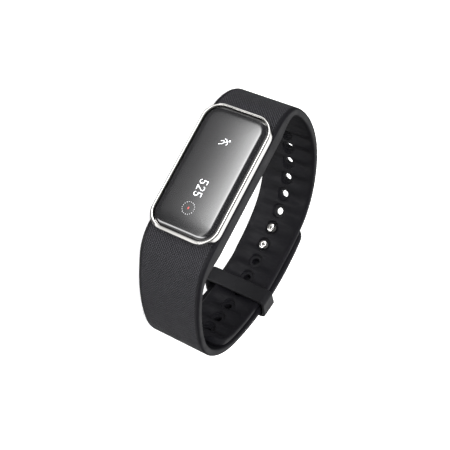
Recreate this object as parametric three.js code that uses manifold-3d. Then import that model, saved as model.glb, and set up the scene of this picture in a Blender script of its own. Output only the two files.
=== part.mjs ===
// A fitness tracker band, closed as it is worn and standing on its side edge.
// Millimetres. The wrist axis is Z, the display faces -Y, and the band's loop lies behind it along +Y.
// Everything is drawn with the centre of the flat under the tracker near the origin. The last lines
// move the whole band so that the origin is the middle of its footprint on the ground.

import * as THREE from 'three';
import { mergeVertices } from 'three/addons/utils/BufferGeometryUtils.js';
import Module from 'manifold-3d';

const wasm = await Module();
wasm.setup();

// ---------------------------------------------------------------- driving dimensions

const CLEARANCE = 0.3;
const SMALL_CLEARANCE = 0.1;

// The band: one silicone moulding with the tracker's cradle in its middle.
const STRAP_THICKNESS = 2.16;
const STRAP_HALF_WIDTH = 10;
const STRAP_EDGE_RADIUS = 0.75;
const CRADLE_THICKNESS = 5;
const CRADLE_FLARE = 0.45;
const CRADLE_TAPER = 14;
const FLAT_HOLE_END = -18.5;
const FLAT_CLASP_END = 15.9;
const CLASP_NARROWING = 0.0113;
const HOLE_NARROWING = 0.0232;
const RING_SPACING = 2.6;

// The outer face of each side is a chain of tangent arcs. Sweeps are in degrees.
const CLASP_ARCS = [
  { radius: 13.5, sweep: 42.1 },
  { radius: 47, sweep: 27.4 },
  { radius: 19, sweep: 70.6 },
];
const BACK_RADIUS = 49.4;
const HOLE_ARCS = [
  { radius: 12, sweep: 72.6 },
  { radius: 36, sweep: 66.2 },
];

// Distances along the outer faces, from the ends of the flat.
const FLAP_START = 77.4;
const CLASP_TIP = 101.2;
const TAIL_TIP = 119;
const TIP_ROUNDING = 5;
const TIP_WIDTH = 0.5;
const KEEPER_START = 70.2;
const KEEPER_LENGTH = 5.8;
const KEEPER_TRAVEL = 8.6;

// The loose tail leans a little to one side of the clasp side that it lies against.
const TAIL_LEAN_START = 80.5;
const TAIL_LEAN = 0.052;

// The holes, and the two studs that hold two of them.
const HOLE_COUNT = 14;
const HOLE_FIRST = 34.85;
const HOLE_PITCH = 6.05;
const HOLE_RADIUS = 1.1;
const HOLE_SEAT_RADIUS = 2;
const HOLE_SEAT_DEPTH = 0.6;
const STUD_HOLES = [6, 7];
const STUD_SHANK_RADIUS = 0.8;
const STUD_HEAD_RADIUS = 1.5;
const STUD_HEAD_HEIGHT = 0.95;
const STUD_RIVET_RADIUS = 1.3;
const STUD_RIVET_HEIGHT = 0.25;
const PLATE_THICKNESS = 0.5;
const PLATE_HALF_WIDTH = 3.2;
const PLATE_MARGIN = 2.6;

const KEEPER_WALL = 1.1;

// The tracker: its centre lies a little towards the hole side of the flat.
const TRACKER_X = -2.06;
const GLASS = { halfX: 17.91, halfZ: 9.55, radius: 4.4 };
const BEZEL = { halfX: 18.8, halfZ: 10.45, radius: 5.3 };
const CASE = { halfX: 16.2, halfZ: 8.3, radius: 3.6 };
const CASE_WALL = 0.8;
const BEZEL_TOP = -2.45;
const BEZEL_BOTTOM = -0.15;
const GLASS_EDGE_TOP = -2.2;
const GLASS_CROWN = -2.75;
const GLASS_BOTTOM = -1.45;
const LEDGE_TOP = -1.05;
const LEDGE_WIDTH = 1.1;
const CASE_FRONT = -0.95;
const CASE_BACK = 4;
const SHELF_FRONT = -0.4;
const SHELF_BACK = 0.15;
const COVER_FRONT = 4.6;
const COVER_BACK = 5.6;

// What the tracker holds, by its place along X.
const DISPLAY = { halfX: 10.9, halfZ: 6.5, radius: 1, x: -5.7 };
const TOUCH_KEY_X = 9.2;
const TOUCH_KEY_RADIUS = 2.6;
const BOARD_FRONT = 0.5;
const BOARD_THICKNESS = 0.6;
const BATTERY = { halfX: 4.9, halfZ: 6.7, radius: 1.2, x: -9.8, front: 1.45, back: 4.3 };
const SENSOR_X = -0.6;
const SENSOR_WINDOW_RADIUS = 3.2;
const MOTOR_X = 8;
const MOTOR_RADIUS = 4;
const MOTOR_FRONT = 1.3;
const MOTOR_BACK = 4.2;
const MOTOR_WALL = 0.25;
const SCREW_INSET = { x: 2, z: 2.2 };
const SCREW_RADIUS = 0.6;
const SCREW_HEAD_RADIUS = 1;
const SCREW_LENGTH = 3;
const POST_RADIUS = 1.35;
const CONTACT_X = 10.2;
const CONTACT_SPACING = 2.6;
const CONTACT_RADIUS = 1;

const HOLE_SEGMENTS = 16;
const ROUND_SEGMENTS = 24;

// ---------------------------------------------------------------- materials

function plastic(color, roughness) {
  return new THREE.MeshStandardMaterial({ color, roughness, metalness: 0 });
}

function metal(color, roughness) {
  return new THREE.MeshStandardMaterial({ color, roughness, metalness: 1 });
}

const silicone = plastic(0x2c2d31, 0.75);
const keeperRubber = plastic(0x24252a, 0.6);
const polishedSteel = metal(0xd8d9dc, 0.15);
const steel = metal(0xb9bbc0, 0.3);
const gold = metal(0xd9b45a, 0.25);
const glassBlack = plastic(0x0b0c0e, 0.05);
const caseBlack = plastic(0x1b1c1f, 0.5);
const sealRubber = plastic(0x17181a, 0.8);
const boardGreen = plastic(0x14513a, 0.5);
const chipBlack = plastic(0x141416, 0.4);
const flexAmber = plastic(0xa8661c, 0.45);
const batteryFoil = metal(0xaeb0b3, 0.45);
const ledClear = plastic(0xbfe8c4, 0.2);

// ---------------------------------------------------------------- solids

// Turns a closed surface the right way out.
function facingOut(geometry) {
  const position = geometry.attributes.position;
  const index = geometry.index;
  const a = new THREE.Vector3();
  const b = new THREE.Vector3();
  const c = new THREE.Vector3();
  let volume = 0;
  for (let i = 0; i < index.count; i += 3) {
    a.fromBufferAttribute(position, index.getX(i));
    b.fromBufferAttribute(position, index.getX(i + 1));
    c.fromBufferAttribute(position, index.getX(i + 2));
    volume += a.dot(b.cross(c));
  }
  if (volume < 0) {
    index.array.reverse();
  }
  return geometry;
}

// Joins the vertices that lie together, so that only the closed surface is left.
function closed(geometry) {
  geometry.deleteAttribute('normal');
  geometry.deleteAttribute('uv');
  return facingOut(mergeVertices(geometry, 1e-4));
}

function toSolid(geometry) {
  const shape = closed(geometry);
  return new wasm.Manifold(new wasm.Mesh({
    numProp: 3,
    vertProperties: new Float32Array(shape.attributes.position.array),
    triVerts: new Uint32Array(shape.index.array),
  }));
}

function toGeometry(solid) {
  const mesh = solid.getMesh();
  const geometry = new THREE.BufferGeometry();
  geometry.setAttribute('position', new THREE.BufferAttribute(mesh.vertProperties, 3));
  geometry.setIndex(new THREE.BufferAttribute(mesh.triVerts, 1));
  return geometry;
}

function cut(body, tools) {
  return toGeometry(tools.reduce((left, tool) => left.subtract(toSolid(tool)), toSolid(body)));
}

function join(bodies) {
  return toGeometry(bodies.map(toSolid).reduce((all, one) => all.add(one)));
}

// A skin over rings of points that all hold the same number of points, closed by its two end rings.
function loft(rings) {
  const count = rings[0].length;
  const index = [];
  for (let ring = 0; ring < rings.length - 1; ring += 1) {
    for (let i = 0; i < count; i += 1) {
      const next = (i + 1) % count;
      const here = ring * count;
      const there = here + count;
      index.push(here + i, there + i, here + next);
      index.push(here + next, there + i, there + next);
    }
  }
  const last = (rings.length - 1) * count;
  for (let i = 1; i < count - 1; i += 1) {
    index.push(0, i, i + 1);
    index.push(last, last + i + 1, last + i);
  }
  const geometry = new THREE.BufferGeometry().setFromPoints(rings.flat());
  geometry.setIndex(index);
  return facingOut(geometry);
}

// Points around a rectangle with round corners.
function roundedRectangle(halfU, halfV, radius, steps) {
  const corners = [[1, 1, 0], [-1, 1, 90], [-1, -1, 180], [1, -1, 270]];
  const points = [];
  for (const [signU, signV, from] of corners) {
    for (let step = 0; step <= steps; step += 1) {
      const angle = THREE.MathUtils.degToRad(from + (90 * step) / steps);
      points.push(new THREE.Vector2(
        signU * (halfU - radius) + radius * Math.cos(angle),
        signV * (halfV - radius) + radius * Math.sin(angle),
      ));
    }
  }
  return points;
}

// A rounded block of the tracker's plan shape. Each level is a depth and how far the side steps in.
function plate(plan, levels, x = TRACKER_X) {
  const steps = 6;
  return loft(levels.map(([y, inset]) => {
    const radius = Math.max(plan.radius - inset, 0.2);
    const outline = roundedRectangle(plan.halfX - inset, plan.halfZ - inset, radius, steps);
    return outline.map((point) => new THREE.Vector3(x + point.x, y, point.y));
  }));
}

function box(x, front, back, z, lengthX, lengthZ) {
  const geometry = new THREE.BoxGeometry(lengthX, back - front, lengthZ);
  return closed(geometry.translate(x, (front + back) / 2, z));
}

// A turned piece with its axis along Y. The profile is a list of radius and depth.
function turned(profile, x, z, segments = ROUND_SEGMENTS) {
  const points = profile.map(([radius, y]) => new THREE.Vector2(radius, y));
  return closed(new THREE.LatheGeometry(points, segments)).translate(x, 0, z);
}

function disc(radius, front, back, x, z, segments) {
  return turned([[0, front], [radius, front], [radius, back], [0, back]], x, z, segments);
}

// ---------------------------------------------------------------- the path of the band

function makeArc(start, heading, turn, radius, sweep) {
  const inward = new THREE.Vector2(-Math.sin(heading), Math.cos(heading)).multiplyScalar(turn);
  const centre = start.clone().addScaledVector(inward, radius);
  return { start, heading, turn, radius, centre, length: radius * sweep };
}

function alongArc(arc, distance) {
  const heading = arc.heading + (arc.turn * distance) / arc.radius;
  const inward = new THREE.Vector2(-Math.sin(heading), Math.cos(heading)).multiplyScalar(arc.turn);
  const point = arc.centre.clone().addScaledVector(inward, -arc.radius);
  return { point, heading, inward };
}

function chainArcs(start, heading, turn, list) {
  const arcs = [];
  for (const { radius, sweep } of list) {
    const arc = makeArc(start, heading, turn, radius, THREE.MathUtils.degToRad(sweep));
    arcs.push(arc);
    ({ point: start, heading } = alongArc(arc, arc.length));
  }
  return arcs;
}

// The arc that leaves an end of a chain and runs smoothly into a wider circle around it.
function joiningArc(arcs, centre, radius) {
  const last = arcs[arcs.length - 1];
  const { point, heading, inward } = alongArc(last, last.length);
  const offset = point.clone().sub(centre);
  const joinRadius = (radius ** 2 - offset.lengthSq()) / (2 * (offset.dot(inward) + radius));
  const joinCentre = point.clone().addScaledVector(inward, joinRadius);
  const outward = joinCentre.clone().sub(centre).normalize();
  const sweep = Math.acos(-outward.dot(inward));
  return makeArc(point, heading, last.turn, joinRadius, sweep);
}

function claspTrack() {
  const start = new THREE.Vector2(FLAT_CLASP_END, 0);
  const back = { radius: BACK_RADIUS, sweep: 90 };
  return chainArcs(start, 0, 1, [...CLASP_ARCS, back]);
}

// The hole side joins the clasp side at the back, and then lies against its inner face.
function holeTrack(claspArcs) {
  const start = new THREE.Vector2(FLAT_HOLE_END, 0);
  const arcs = chainArcs(start, Math.PI, -1, HOLE_ARCS);
  const [corner, back] = claspArcs.slice(-2);
  const inset = STRAP_THICKNESS + CLEARANCE;
  const joining = joiningArc(arcs, back.centre, back.radius - inset);
  const meeting = alongArc(joining, joining.length);
  const backSweep = meeting.heading - Math.PI - alongArc(back, 0).heading;
  const shared = makeArc(
    meeting.point,
    meeting.heading,
    -1,
    back.radius - inset,
    THREE.MathUtils.euclideanModulo(backSweep, 2 * Math.PI),
  );
  const leaving = alongArc(shared, shared.length);
  const tail = makeArc(leaving.point, leaving.heading, -1, corner.radius - inset, Math.PI / 2);
  return [...arcs, joining, shared, tail];
}

function alongTrack(arcs, distance) {
  let left = distance;
  for (const arc of arcs.slice(0, -1)) {
    if (left < arc.length) {
      return alongArc(arc, left);
    }
    left -= arc.length;
  }
  return alongArc(arcs[arcs.length - 1], left);
}

const clasp = claspTrack();
const backArc = clasp[clasp.length - 1];
const hole = holeTrack(clasp);

function trackLength(arcs) {
  return arcs.slice(0, -1).reduce((sum, arc) => sum + arc.length, 0);
}

// ---------------------------------------------------------------- the band's sections

// 1 at the cradle, easing to 0 where the plain strap begins.
function cradleShare(distance) {
  const share = Math.min(Math.max(distance / CRADLE_TAPER, 0), 1);
  return (1 + Math.cos(Math.PI * share)) / 2;
}

function thicknessAt(distance) {
  return STRAP_THICKNESS + (CRADLE_THICKNESS - STRAP_THICKNESS) * cradleShare(distance);
}

function halfWidthAt(distance, narrowing) {
  return STRAP_HALF_WIDTH - narrowing * distance + CRADLE_FLARE * cradleShare(distance);
}

function leanAt(distance) {
  return TAIL_LEAN * Math.max(distance - TAIL_LEAN_START, 0);
}

// How much of the full width is left near a rounded tip.
function tipShare(distance, tip) {
  const past = Math.max(distance - (tip - TIP_ROUNDING), 0) / TIP_ROUNDING;
  return Math.sqrt(1 - (1 - TIP_WIDTH ** 2) * past ** 3);
}

// One closed ring across the band: depth runs in from the outer face, and Z across the width.
function sectionRing(place, nearDepth, farDepth, halfWidth, radius) {
  const halfDepth = (farDepth - nearDepth) / 2;
  const outline = roundedRectangle(halfDepth, halfWidth, radius, 3);
  return outline.map((point) => {
    const depth = nearDepth + halfDepth + point.x;
    const at = place.point.clone().addScaledVector(place.inward, depth);
    return new THREE.Vector3(at.x, at.y, point.y);
  });
}

function spaced(from, to, spacing) {
  const count = Math.max(Math.ceil(Math.abs(to - from) / spacing), 1);
  return Array.from({ length: count + 1 }, (_, i) => from + ((to - from) * i) / count);
}

// Where the rings of one side stand. They crowd together at a rounded tip.
function ringDistances(from, to, tip) {
  const start = Math.min(Math.max(tip - TIP_ROUNDING, from), to);
  const plain = spaced(from, start, RING_SPACING);
  const rounded = to > start ? spaced(start, to, TIP_ROUNDING / 5).slice(1) : [];
  return [...plain, ...rounded];
}

// Rings of one side between two distances along its outer face.
function sideRings(arcs, narrowing, from, to, tip) {
  return ringDistances(from, to, tip).map((distance) => {
    const halfWidth = halfWidthAt(distance, narrowing) * tipShare(distance, tip);
    const thickness = thicknessAt(distance);
    return sectionRing(alongTrack(arcs, distance), 0, thickness, halfWidth, STRAP_EDGE_RADIUS);
  });
}

function claspRings(from, to) {
  return sideRings(clasp, CLASP_NARROWING, from, to, CLASP_TIP);
}

function holeRings(from, to) {
  const rings = sideRings(hole, HOLE_NARROWING, from, to, TAIL_TIP);
  const distances = ringDistances(from, to, TAIL_TIP);
  rings.forEach((ring, i) => ring.forEach((point) => {
    point.z += leanAt(distances[i]);
  }));
  return rings;
}

// A curved block that follows the clasp side, between two depths.
function claspBlock(from, to, near, far, halfWidth, radius) {
  return loft(spaced(from, to, RING_SPACING).map((distance) => (
    sectionRing(alongTrack(clasp, distance), near, far, halfWidth, radius)
  )));
}

// ---------------------------------------------------------------- the holes

function holeDistance(number) {
  return HOLE_FIRST + HOLE_PITCH * number;
}

// A round tool or piece whose axis runs into the band, with its depths counted from the outer face.
function acrossBand(profile, place, segments, z = 0) {
  const geometry = turned(profile, 0, 0, segments);
  const angle = Math.atan2(place.inward.y, place.inward.x) - Math.PI / 2;
  return geometry.rotateZ(angle).translate(place.point.x, place.point.y, z);
}

function holeTool(number) {
  const place = alongTrack(hole, holeDistance(number));
  const seat = STRAP_THICKNESS - HOLE_SEAT_DEPTH;
  const outside = -1;
  const inside = STRAP_THICKNESS + 1;
  const profile = [
    [0, outside],
    [HOLE_RADIUS, outside],
    [HOLE_RADIUS, seat],
    [HOLE_SEAT_RADIUS, seat],
    [HOLE_SEAT_RADIUS, inside],
    [0, inside],
  ];
  return acrossBand(profile, place, HOLE_SEGMENTS, leanAt(holeDistance(number)));
}

function holesBetween(from, to) {
  const numbers = Array.from({ length: HOLE_COUNT }, (_, i) => i);
  const inside = numbers.filter((i) => holeDistance(i) > from && holeDistance(i) < to);
  return inside.map(holeTool);
}

const GRIP_START = (holeDistance(STUD_HOLES[0] - 1) + holeDistance(STUD_HOLES[0])) / 2;
const GRIP_END = (holeDistance(STUD_HOLES[1]) + holeDistance(STUD_HOLES[1] + 1)) / 2;

// ---------------------------------------------------------------- the band

function makeStrapBody() {
  const rings = [
    ...holeRings(0, GRIP_START - CLEARANCE / 2).reverse(),
    ...claspRings(0, FLAP_START - CLEARANCE / 2),
  ];
  const pocket = {
    halfX: CASE.halfX + CLEARANCE,
    halfZ: CASE.halfZ + CLEARANCE,
    radius: CASE.radius + CLEARANCE,
  };
  const pocketTool = plate(pocket, [[-1, 0], [CRADLE_THICKNESS + 1, 0]]);
  return cut(loft(rings), [pocketTool, ...holesBetween(0, GRIP_START)]);
}

function makeHoleSection(from, to) {
  return cut(loft(holeRings(from, to)), holesBetween(from, to));
}

// The clasp side and hole side share the back circle, so a place on one faces a place on the other.
function facingDistance(distanceOnHoleSide) {
  const { inward } = alongTrack(hole, distanceOnHoleSide);
  const start = alongArc(backArc, 0).inward;
  const sweep = start.angle() - inward.angle();
  const turn = THREE.MathUtils.euclideanModulo(-sweep, 2 * Math.PI);
  return trackLength(clasp) + turn * BACK_RADIUS;
}

const studDistances = STUD_HOLES.map((number) => facingDistance(holeDistance(number)));
const plateFrom = Math.min(...studDistances) - PLATE_MARGIN;
const plateTo = Math.max(...studDistances) + PLATE_MARGIN;
const plateFar = STRAP_THICKNESS - 0.15;
const plateNear = plateFar - PLATE_THICKNESS;
const rivetFar = plateNear - SMALL_CLEARANCE;
const rivetNear = rivetFar - STUD_RIVET_HEIGHT;

function makeFlap() {
  const body = loft(claspRings(FLAP_START + CLEARANCE / 2, CLASP_TIP));
  const recess = claspBlock(
    plateFrom - SMALL_CLEARANCE,
    plateTo + SMALL_CLEARANCE,
    rivetNear - SMALL_CLEARANCE,
    STRAP_THICKNESS + 1,
    PLATE_HALF_WIDTH + SMALL_CLEARANCE,
    0.2,
  );
  return cut(body, [recess]);
}

function makeClaspPlate() {
  const body = claspBlock(plateFrom, plateTo, plateNear, plateFar, PLATE_HALF_WIDTH, 0.15);
  const radius = STUD_SHANK_RADIUS + SMALL_CLEARANCE;
  const holes = studDistances.map((distance) => acrossBand(
    [[0, 0], [radius, 0], [radius, STRAP_THICKNESS], [0, STRAP_THICKNESS]],
    alongTrack(clasp, distance),
    HOLE_SEGMENTS,
  ));
  return cut(body, holes);
}

function makeStud(distance) {
  const holeFar = 2 * STRAP_THICKNESS + CLEARANCE;
  const headNear = holeFar - HOLE_SEAT_DEPTH + 0.15;
  const headFar = headNear + STUD_HEAD_HEIGHT;
  const shank = STUD_SHANK_RADIUS;
  const head = STUD_HEAD_RADIUS;
  return acrossBand([
    [0, rivetNear],
    [STUD_RIVET_RADIUS, rivetNear],
    [STUD_RIVET_RADIUS, rivetFar],
    [shank, rivetFar],
    [shank, headNear],
    [0.86 * head, headNear],
    [head, headNear + 0.2 * STUD_HEAD_HEIGHT],
    [0.94 * head, headNear + 0.5 * STUD_HEAD_HEIGHT],
    [0.72 * head, headNear + 0.84 * STUD_HEAD_HEIGHT],
    [0.42 * head, headFar],
    [0.3 * head, headFar],
    [0.22 * head, headFar - 0.25],
    [0, headFar - 0.25],
  ], alongTrack(clasp, distance), ROUND_SEGMENTS);
}

// A sleeve around both layers of the band.
function makeKeeper() {
  const near = -CLEARANCE;
  const far = 2 * STRAP_THICKNESS + 2 * CLEARANCE;
  const halfWidth = halfWidthAt(KEEPER_START - KEEPER_TRAVEL, CLASP_NARROWING) + CLEARANCE;
  const end = KEEPER_START + KEEPER_LENGTH;
  const outer = claspBlock(
    KEEPER_START,
    end,
    near - KEEPER_WALL,
    far + KEEPER_WALL,
    halfWidth + KEEPER_WALL,
    1.6,
  );
  const inner = claspBlock(KEEPER_START - 1, end + 1, near, far, halfWidth, 0.4);
  return cut(outer, [inner]);
}

// ---------------------------------------------------------------- the tracker's shell

function makeBezel() {
  const body = plate(BEZEL, [
    [BEZEL_BOTTOM, 0.3],
    [BEZEL_BOTTOM - 0.3, 0],
    [BEZEL_TOP + 0.4, 0],
    [BEZEL_TOP + 0.1, 0.15],
    [BEZEL_TOP, 0.4],
  ]);
  const seat = {
    halfX: GLASS.halfX + 0.15,
    halfZ: GLASS.halfZ + 0.15,
    radius: GLASS.radius + 0.15,
  };
  const opening = {
    halfX: GLASS.halfX - LEDGE_WIDTH,
    halfZ: GLASS.halfZ - LEDGE_WIDTH + 0.15,
    radius: GLASS.radius - 0.5,
  };
  return cut(body, [
    plate(seat, [[BEZEL_TOP - 1, 0], [LEDGE_TOP, 0]]),
    plate(opening, [[BEZEL_TOP, 0], [BEZEL_BOTTOM + 1, 0]]),
  ]);
}

function makeGlass() {
  return plate(GLASS, [
    [GLASS_BOTTOM, 0],
    [GLASS_EDGE_TOP, 0],
    [GLASS_EDGE_TOP - 0.22, 0.25],
    [GLASS_EDGE_TOP - 0.38, 0.9],
    [GLASS_CROWN + 0.05, 2.2],
    [GLASS_CROWN, 4.2],
  ]);
}

function makeGasket() {
  const outer = { halfX: GLASS.halfX - 0.1, halfZ: GLASS.halfZ - 0.1, radius: GLASS.radius };
  const inner = {
    halfX: GLASS.halfX - LEDGE_WIDTH + 0.2,
    halfZ: GLASS.halfZ - LEDGE_WIDTH + 0.3,
    radius: GLASS.radius - 0.5,
  };
  const front = GLASS_BOTTOM + SMALL_CLEARANCE;
  const back = LEDGE_TOP - SMALL_CLEARANCE;
  return cut(plate(outer, [[front, 0], [back, 0]]), [
    plate(inner, [[front - 1, 0], [back + 1, 0]]),
  ]);
}

const screwPlaces = [[-1, -1], [-1, 1], [1, -1], [1, 1]].map(([signX, signZ]) => ({
  x: TRACKER_X + signX * (CASE.halfX - SCREW_INSET.x),
  z: signZ * (CASE.halfZ - SCREW_INSET.z),
}));

function smaller(plan, by) {
  return {
    halfX: plan.halfX - by,
    halfZ: plan.halfZ - by,
    radius: Math.max(plan.radius - by, 0.5),
  };
}

// A wall all round, a shelf for the display, and four screw posts.
function makeMidFrame() {
  const inside = smaller(CASE, CASE_WALL);
  const shell = cut(plate(CASE, [[CASE_FRONT, 0], [CASE_BACK, 0]]), [
    plate(inside, [[CASE_FRONT - 1, 0], [SHELF_FRONT, 0]]),
    plate(inside, [[SHELF_BACK, 0], [CASE_BACK + 1, 0]]),
    box(flexX, SHELF_FRONT - 1, SHELF_BACK + 1, 0, 1.2, 7),
  ]);
  const posts = screwPlaces.map(({ x, z }) => (
    disc(POST_RADIUS, SHELF_BACK - 0.2, CASE_BACK, x, z, HOLE_SEGMENTS)
  ));
  const pilot = SCREW_RADIUS + SMALL_CLEARANCE;
  const pilots = screwPlaces.map(({ x, z }) => (
    disc(pilot, CASE_BACK - SCREW_LENGTH, CASE_BACK + 1, x, z, HOLE_SEGMENTS)
  ));
  return cut(join([shell, ...posts]), pilots);
}

function makeSeal() {
  const outer = smaller(CASE, 0.1);
  const inner = smaller(CASE, 0.75);
  const front = CASE_BACK + SMALL_CLEARANCE;
  const back = COVER_FRONT - SMALL_CLEARANCE;
  return cut(plate(outer, [[front, 0], [back, 0]]), [
    plate(inner, [[front - 1, 0], [back + 1, 0]]),
  ]);
}

function contactPlaces() {
  return [-1, 1].map((side) => ({ x: CONTACT_X, z: side * CONTACT_SPACING }));
}

function makeBackCover() {
  const body = plate(CASE, [
    [COVER_FRONT, 0],
    [COVER_BACK - 0.45, 0],
    [COVER_BACK - 0.12, 0.22],
    [COVER_BACK, 0.6],
  ]);
  const through = [COVER_FRONT - 1, COVER_BACK + 1];
  const screwHoles = screwPlaces.flatMap(({ x, z }) => [
    disc(SCREW_RADIUS + SMALL_CLEARANCE, ...through, x, z, HOLE_SEGMENTS),
    disc(SCREW_HEAD_RADIUS + SMALL_CLEARANCE, COVER_BACK - 0.55, COVER_BACK + 1, x, z, HOLE_SEGMENTS),
  ]);
  const contactHoles = contactPlaces().map(({ x, z }) => (
    disc(CONTACT_RADIUS + SMALL_CLEARANCE, ...through, x, z, HOLE_SEGMENTS)
  ));
  const windowHole = disc(SENSOR_WINDOW_RADIUS + SMALL_CLEARANCE, ...through, SENSOR_X, 0, ROUND_SEGMENTS);
  return cut(body, [...screwHoles, ...contactHoles, windowHole]);
}

function makeScrew({ x, z }) {
  const top = COVER_BACK - 0.1;
  const head = COVER_BACK - 0.45;
  const end = CASE_BACK - SCREW_LENGTH + 0.3;
  return turned([
    [0, end],
    [0.6 * SCREW_RADIUS, end],
    [SCREW_RADIUS, end + 0.3],
    [SCREW_RADIUS, head],
    [SCREW_HEAD_RADIUS, head],
    [SCREW_HEAD_RADIUS, top - 0.1],
    [0.85 * SCREW_HEAD_RADIUS, top],
    [0.35, top],
    [0.35, top - 0.2],
    [0, top - 0.2],
  ], x, z, HOLE_SEGMENTS);
}

function makeContact({ x, z }) {
  const front = COVER_FRONT - 0.25;
  return turned([
    [0, front],
    [CONTACT_RADIUS, front],
    [CONTACT_RADIUS, COVER_BACK - 0.1],
    [0.8 * CONTACT_RADIUS, COVER_BACK],
    [0, COVER_BACK],
  ], x, z, HOLE_SEGMENTS);
}

// ---------------------------------------------------------------- inside the tracker

const displayFront = GLASS_BOTTOM + SMALL_CLEARANCE;
const displayBack = SHELF_FRONT - SMALL_CLEARANCE;
const flexX = DISPLAY.x + DISPLAY.halfX + 1.6;
const boardBack = BOARD_FRONT + BOARD_THICKNESS;
const chipFront = boardBack + SMALL_CLEARANCE;

function makeDisplay() {
  return plate(DISPLAY, [[displayFront, 0], [displayBack, 0]], DISPLAY.x);
}

// A ribbon that leaves the display's edge and turns down through the shelf to the board.
function makeDisplayFlex() {
  const thickness = 0.14;
  const start = DISPLAY.x + DISPLAY.halfX + SMALL_CLEARANCE;
  const top = displayFront + 0.45;
  const bottom = BOARD_FRONT - SMALL_CLEARANCE;
  const outline = new THREE.Shape([
    new THREE.Vector2(start, top),
    new THREE.Vector2(flexX, top),
    new THREE.Vector2(flexX + thickness, top + thickness),
    new THREE.Vector2(flexX + thickness, bottom),
    new THREE.Vector2(flexX, bottom),
    new THREE.Vector2(flexX, top + 2 * thickness),
    new THREE.Vector2(flexX - thickness, top + thickness),
    new THREE.Vector2(start, top + thickness),
  ]);
  const width = 6;
  const ribbon = new THREE.ExtrudeGeometry(outline, { depth: width, bevelEnabled: false });
  return closed(ribbon.translate(0, 0, -width / 2));
}

function makeTouchPad() {
  return disc(TOUCH_KEY_RADIUS, displayFront, displayFront + 0.25, TOUCH_KEY_X, 0, ROUND_SEGMENTS);
}

function makeMainBoard() {
  const plan = smaller(CASE, CASE_WALL + 0.3);
  const notches = screwPlaces.map(({ x, z }) => (
    disc(POST_RADIUS + 0.3, BOARD_FRONT - 1, boardBack + 1, x, z, HOLE_SEGMENTS)
  ));
  return cut(plate(plan, [[BOARD_FRONT, 0], [boardBack, 0]]), notches);
}

function makeBattery() {
  return plate(BATTERY, [
    [BATTERY.front, 0.5],
    [BATTERY.front + 0.5, 0],
    [BATTERY.back - 0.5, 0],
    [BATTERY.back, 0.5],
  ], BATTERY.x);
}

function makeMotorCan() {
  const inner = MOTOR_RADIUS - MOTOR_WALL;
  return turned([
    [0, MOTOR_BACK - MOTOR_WALL],
    [inner, MOTOR_BACK - MOTOR_WALL],
    [inner, MOTOR_FRONT + 0.45],
    [MOTOR_RADIUS, MOTOR_FRONT + 0.45],
    [MOTOR_RADIUS, MOTOR_BACK - 0.2],
    [MOTOR_RADIUS - 0.2, MOTOR_BACK],
    [0, MOTOR_BACK],
  ], MOTOR_X, 0);
}

// The motor's base plate carries the shaft.
function makeMotorBase() {
  const shaft = 0.5;
  return turned([
    [0, MOTOR_FRONT],
    [MOTOR_RADIUS, MOTOR_FRONT],
    [MOTOR_RADIUS, MOTOR_FRONT + 0.35],
    [shaft, MOTOR_FRONT + 0.35],
    [shaft, MOTOR_BACK - MOTOR_WALL - SMALL_CLEARANCE],
    [0, MOTOR_BACK - MOTOR_WALL - SMALL_CLEARANCE],
  ], MOTOR_X, 0);
}

// A half-round weight on a hub that spins around the shaft. At rest it hangs below the shaft.
function makeMotorWeight() {
  const front = MOTOR_FRONT + 0.65;
  const back = MOTOR_BACK - MOTOR_WALL - 0.35;
  const radius = MOTOR_RADIUS - MOTOR_WALL - CLEARANCE;
  const hub = 1.2;
  const bore = 0.75;
  const whole = disc(radius, front, back, MOTOR_X, 0, ROUND_SEGMENTS);
  const otherHalf = box(MOTOR_X, front - 1, back + 1, radius, 3 * radius, 2 * radius);
  const half = cut(whole, [otherHalf]);
  const full = join([half, disc(hub, front, back, MOTOR_X, 0, HOLE_SEGMENTS)]);
  return cut(full, [disc(bore, front - 1, back + 1, MOTOR_X, 0, HOLE_SEGMENTS)]);
}

const sensorBoardFront = 3;
const sensorBoardBack = 3.5;
const sensorPartFront = sensorBoardBack + SMALL_CLEARANCE;
const sensorPartBack = sensorPartFront + 0.5;

// A clear button with a flange that stays behind the back cover.
function makeSensorWindow() {
  const radius = SENSOR_WINDOW_RADIUS;
  const flangeFront = sensorPartBack + SMALL_CLEARANCE;
  const flangeBack = COVER_FRONT - SMALL_CLEARANCE;
  return turned([
    [0, flangeFront],
    [radius + 0.7, flangeFront],
    [radius + 0.7, flangeBack],
    [radius, flangeBack],
    [radius, COVER_BACK - 0.05],
    [radius - 0.15, COVER_BACK + 0.1],
    [radius - 0.6, COVER_BACK + 0.15],
    [0, COVER_BACK + 0.15],
  ], SENSOR_X, 0);
}

// ---------------------------------------------------------------- assembly

const band = new THREE.Group();

function add(name, geometry, material) {
  const mesh = new THREE.Mesh(geometry, material);
  mesh.name = name;
  band.add(mesh);
}

function addBand() {
  add('strap_body', makeStrapBody(), silicone);
  add('strap_hole_grip', makeHoleSection(GRIP_START + CLEARANCE / 2, GRIP_END - CLEARANCE / 2), silicone);
  add('strap_hole_tail', makeHoleSection(GRIP_END + CLEARANCE / 2, TAIL_TIP), silicone);
  add('strap_clasp_flap', makeFlap(), silicone);
  add('clasp_plate', makeClaspPlate(), steel);
  studDistances.forEach((distance, i) => add(`clasp_stud_${i + 1}`, makeStud(distance), polishedSteel));
  add('keeper_loop', makeKeeper(), keeperRubber);
}

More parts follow.
